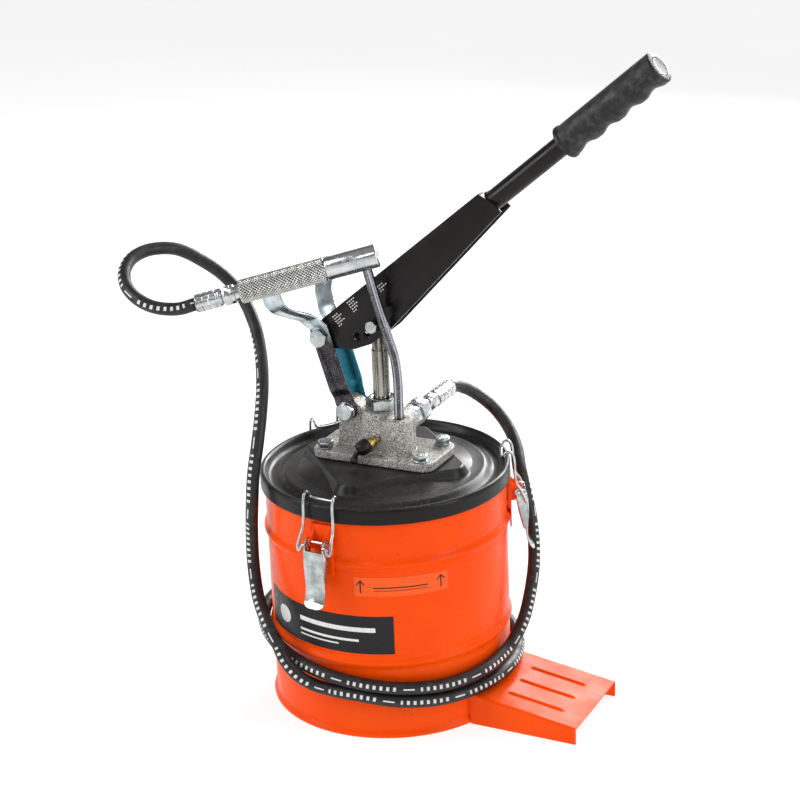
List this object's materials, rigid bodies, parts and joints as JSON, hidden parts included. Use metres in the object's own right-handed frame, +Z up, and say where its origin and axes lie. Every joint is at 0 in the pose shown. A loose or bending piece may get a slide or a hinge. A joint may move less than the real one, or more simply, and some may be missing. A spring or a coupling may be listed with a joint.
{
  "type": "hand-lever bucket grease pump",
  "caption": "Hand-lever grease pump on a round bucket with foot pedal, clipped lid, cast pump head, wrapped delivery hose and a parked control handle.",
  "frame": {"origin": "centre of the bucket's flat bottom, on the floor", "axes": "+Z up along the bucket's and the piston rod's axis, +X the way the lever and the foot pedal point, +Y towards the hose outlet side"},
  "size_m": [0.5022, 0.2885, 0.6298],
  "materials": {
    "orange_paint": "gloss powder coat",
    "black_paint": "semi-gloss black paint",
    "black_lever": "gloss black paint",
    "zinc": "bright zinc plate",
    "cast_metal": "silver painted sand casting",
    "plain_steel": "oiled plain steel",
    "brass": "machined brass",
    "rubber": "smooth extruded rubber",
    "grip_rubber": "moulded grip rubber",
    "nitrile": "matt sealing rubber"
  },
  "bodies": {
    "base": {"bucket_shell": "orange_paint", "bucket_base": "orange_paint", "foot_plate": "orange_paint", "lid": "black_paint", "lid_gasket": "nitrile", "head_gasket": "nitrile", "pump_head": "cast_metal", "head_bolt_1": "zinc", "head_bolt_2": "zinc", "head_bolt_3": "zinc", "head_bolt_4": "zinc", "gland_nut": "zinc", "gland_seal": "nitrile", "pump_tube": "plain_steel", "foot_valve": "plain_steel", "loader_nipple": "brass", "link_bolt": "zinc", "link_nut": "zinc", "outlet_adapter": "zinc", "swivel_nut": "zinc", "outlet_tail": "zinc", "outlet_ferrule": "zinc", "grease_hose": "rubber", "clip_bracket_1": "orange_paint", "clip_pin_1": "zinc", "clip_bracket_2": "orange_paint", "clip_pin_2": "zinc", "clip_bracket_3": "orange_paint", "clip_pin_3": "zinc"},
    "link": {"link_front": "zinc", "link_rear": "zinc", "fulcrum_bolt": "zinc", "fulcrum_nut": "zinc"},
    "lever": {"lever_channel": "black_lever", "lever_bar": "black_lever", "lever_grip": "grip_rubber", "grip_plug": "grip_rubber", "rod_pin": "zinc", "rod_pin_nut": "zinc"},
    "rod": {"piston_rod": "zinc", "rod_eye": "zinc", "piston": "plain_steel"},
    "gun": {"gun_head": "zinc", "gun_pipe": "zinc", "gun_handle": "zinc", "gun_coupler": "zinc", "gun_ferrule": "zinc"},
    "dust_cap": {"dust_cap": "rubber"},
    "follower": {"follower_plate": "plain_steel", "follower_wiper": "nitrile"},
    "inlet_ball": {"inlet_ball": "plain_steel"},
    "clip_lever_1": {"clip_lever_1": "zinc"},
    "clip_bail_1": {"clip_bail_1": "zinc"},
    "clip_lever_2": {"clip_lever_2": "zinc"},
    "clip_bail_2": {"clip_bail_2": "zinc"},
    "clip_lever_3": {"clip_lever_3": "zinc"},
    "clip_bail_3": {"clip_bail_3": "zinc"}
  },
  "joints": [
    {"name": "lever_swing", "type": "hinge", "parent": "link", "child": "lever", "pos_m": [-0.053, 0, 0.353], "axis": [0, -1, 0], "range_deg": [-45, 8]},
    {"name": "link_lean", "type": "hinge", "parent": "base", "child": "link", "pos_m": [-0.031, 0, 0.282], "axis": [0, -1, 0], "range_deg": [-1.2, 0.3]},
    {"name": "rod_stroke", "type": "slide", "parent": "base", "child": "rod", "axis": [0, 0, 1], "range_m": [-0.0429, 0.0077]},
    {"name": "gun_lift", "type": "slide", "parent": "base", "child": "gun", "axis": [0, 0, 1], "range_m": [0, 0.024]},
    {"name": "cap_pull", "type": "slide", "parent": "base", "child": "dust_cap", "axis": [-0.5511, -0.7617, -0.3408], "range_m": [0, 0.008]},
    {"name": "follower_travel", "type": "slide", "parent": "base", "child": "follower", "axis": [0, 0, 1], "range_m": [-0.115, 0.055]},
    {"name": "inlet_ball_lift", "type": "slide", "parent": "base", "child": "inlet_ball", "axis": [0, 0, 1], "range_m": [0, 0.004]},
    {"name": "clip_1_lever", "type": "hinge", "parent": "base", "child": "clip_lever_1", "pos_m": [-0.00654, -0.12483, 0.1975], "axis": [-0.9986, 0.0523, 0], "range_deg": [0, 100]},
    {"name": "clip_1_bail", "type": "hinge", "parent": "clip_lever_1", "child": "clip_bail_1", "pos_m": [-0.00686, -0.13082, 0.1955], "axis": [-0.9986, 0.0523, 0], "range_deg": [-140.5, 0]},
    {"name": "clip_2_lever", "type": "hinge", "parent": "base", "child": "clip_lever_2", "pos_m": [0.11138, 0.05675, 0.1975], "axis": [0.454, -0.891, 0], "range_deg": [0, 100]},
    {"name": "clip_2_bail", "type": "hinge", "parent": "clip_lever_2", "child": "clip_bail_2", "pos_m": [0.11672, 0.05947, 0.1955], "axis": [0.454, -0.891, 0], "range_deg": [-140.5, 0]},
    {"name": "clip_3_lever", "type": "hinge", "parent": "base", "child": "clip_lever_3", "pos_m": [-0.10483, 0.06808, 0.1975], "axis": [0.5446, 0.8387, 0], "range_deg": [0, 100]},
    {"name": "clip_3_bail", "type": "hinge", "parent": "clip_lever_3", "child": "clip_bail_3", "pos_m": [-0.10987, 0.07135, 0.1955], "axis": [0.5446, 0.8387, 0], "range_deg": [-140.5, 0]}
  ],
  "couplings": [
    {"joint": "link_lean", "follows": "lever_swing", "ratio": 0.025},
    {"joint": "rod_stroke", "follows": "lever_swing", "m_per_rad": 0.05443},
    {"joint": "clip_1_bail", "follows": "clip_1_lever", "ratio": -1.4},
    {"joint": "clip_2_bail", "follows": "clip_2_lever", "ratio": -1.4},
    {"joint": "clip_3_bail", "follows": "clip_3_lever", "ratio": -1.4}
  ]
}
